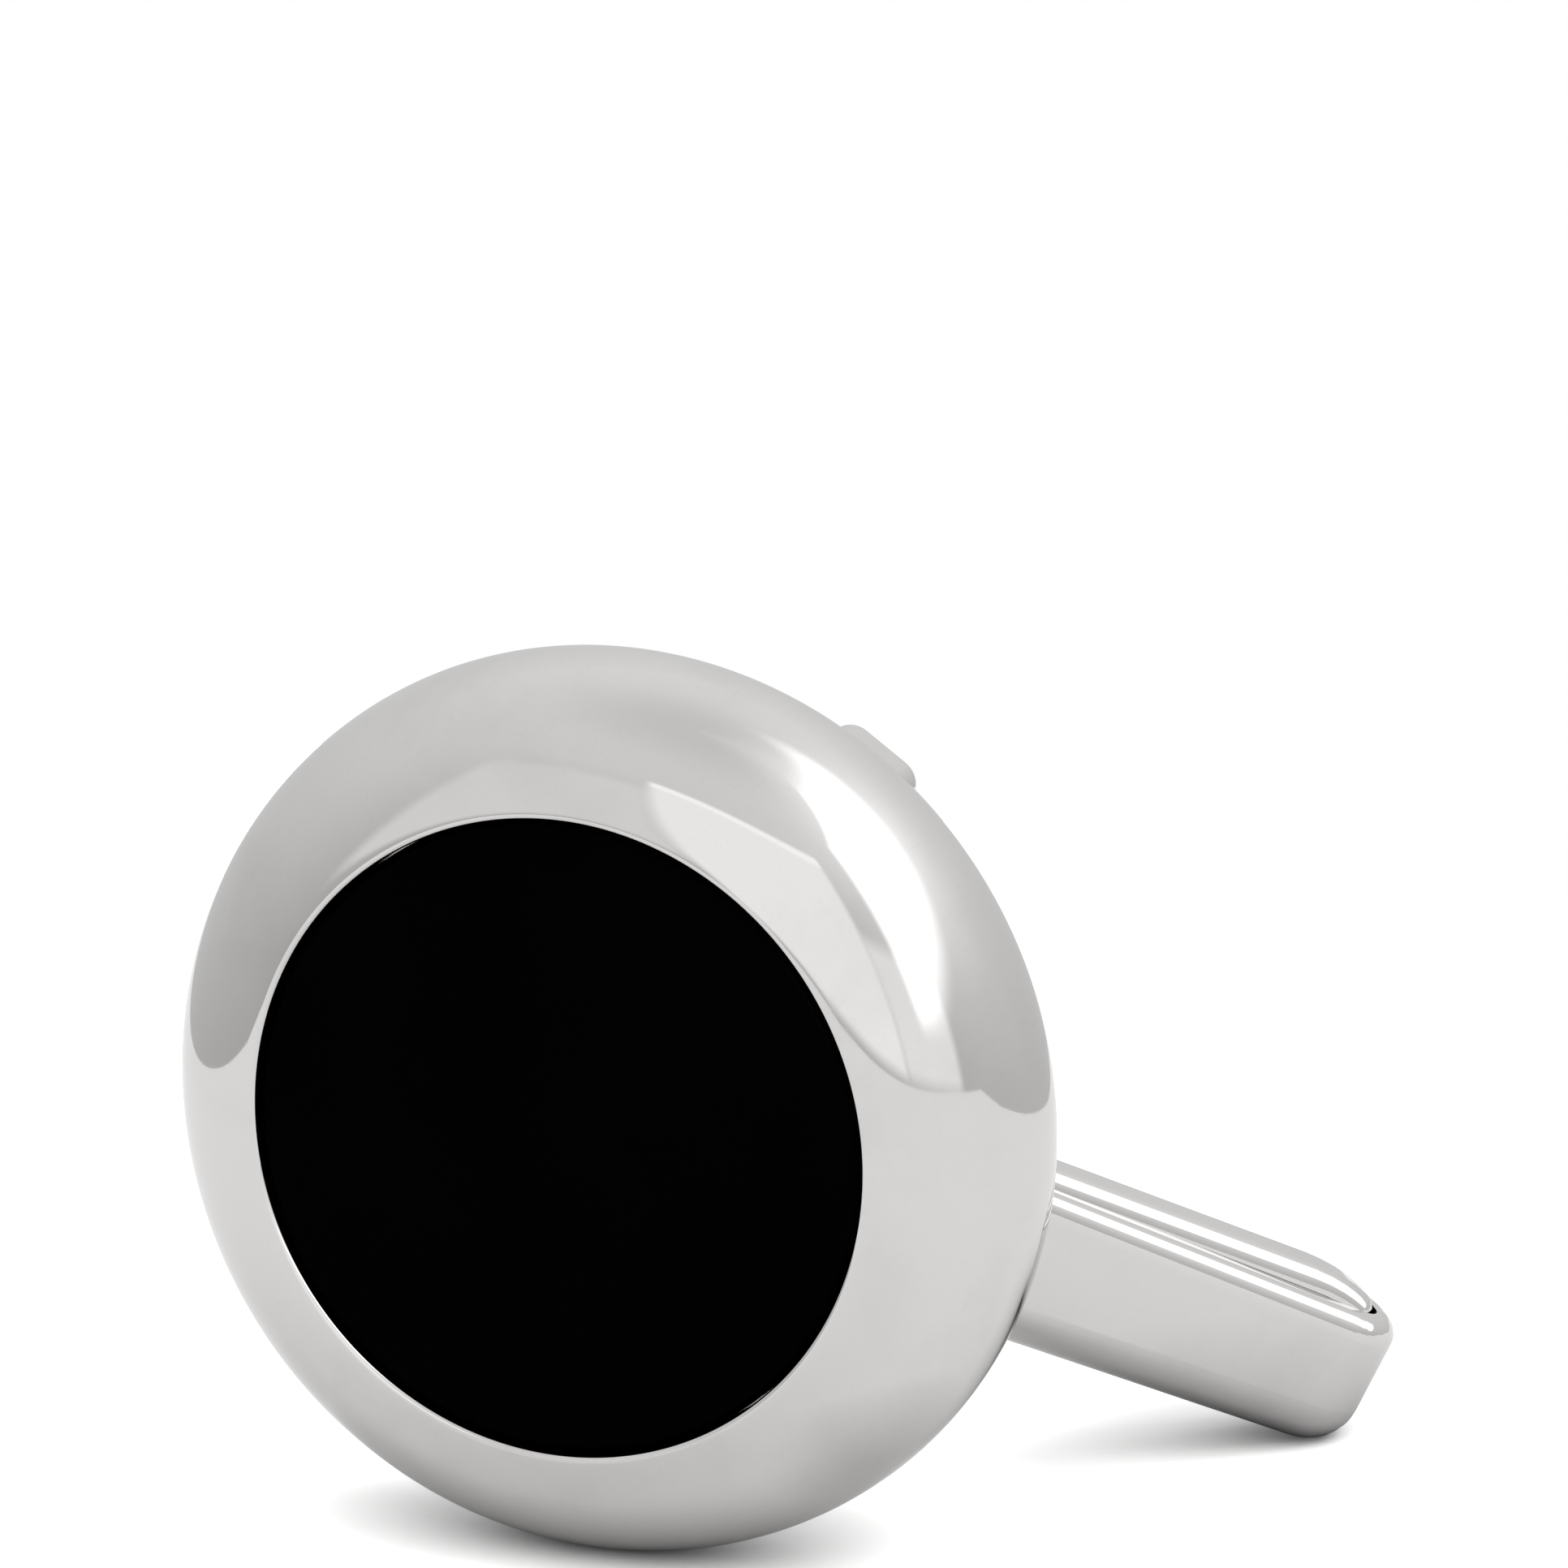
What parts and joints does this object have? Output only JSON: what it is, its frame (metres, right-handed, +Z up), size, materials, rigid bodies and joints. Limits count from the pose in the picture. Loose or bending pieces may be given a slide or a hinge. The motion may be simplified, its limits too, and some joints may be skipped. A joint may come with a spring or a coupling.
{
  "type": "cufflink",
  "caption": "Round cufflink with a polished steel ring round a flat black stone, and a hinged, swivelling arm that carries a turning toggle bar behind it.",
  "frame": {"origin": "on the axis of the round head, in the plane of the ring's back edge", "axes": "+Y backwards along the head's axis, away from the stone and towards the wearer's cuff; +Z up as the head stands on its rim; +X to the right seen from the stone's side"},
  "size_m": [0.0204, 0.0167, 0.018],
  "materials": {
    "polished_steel": "mirror polished",
    "plain_steel": "satin, as machined",
    "black_onyx": "polished flat",
    "cement": "set jeweller's cement"
  },
  "bodies": {
    "head": {"bezel": "polished_steel", "onyx_disc": "black_onyx", "cement_bed": "cement", "seat_plate": "plain_steel", "hinge_bar": "polished_steel", "bar_rivet_upper": "plain_steel", "bar_rivet_lower": "plain_steel", "axle_washer_upper": "plain_steel", "axle_washer_lower": "plain_steel"},
    "post": {"post_stem": "plain_steel", "stem_button": "plain_steel"},
    "arm": {"arm_frame": "polished_steel", "toggle_pin": "plain_steel", "toggle_washer_near": "plain_steel", "toggle_washer_far": "plain_steel"},
    "toggle": {"toggle_bar": "polished_steel"}
  },
  "joints": [
    {"name": "arm_tilt", "type": "hinge", "parent": "head", "child": "post", "pos_m": [-0.00041, -0.0008, -0.0006], "axis": [0.5621, 0, 0.8271], "range_deg": [-10, 108]},
    {"name": "arm_swivel", "type": "hinge", "parent": "post", "child": "arm", "pos_m": [-0.00041, -0.0008, -0.0006], "axis": [0.6252, 0.6547, -0.4249], "continuous": true},
    {"name": "toggle_turn", "type": "hinge", "parent": "arm", "child": "toggle", "pos_m": [0.00658, 0.00652, -0.00536], "axis": [0.6629, -0.7328, -0.1539], "range_deg": [-90, 90]}
  ]
}
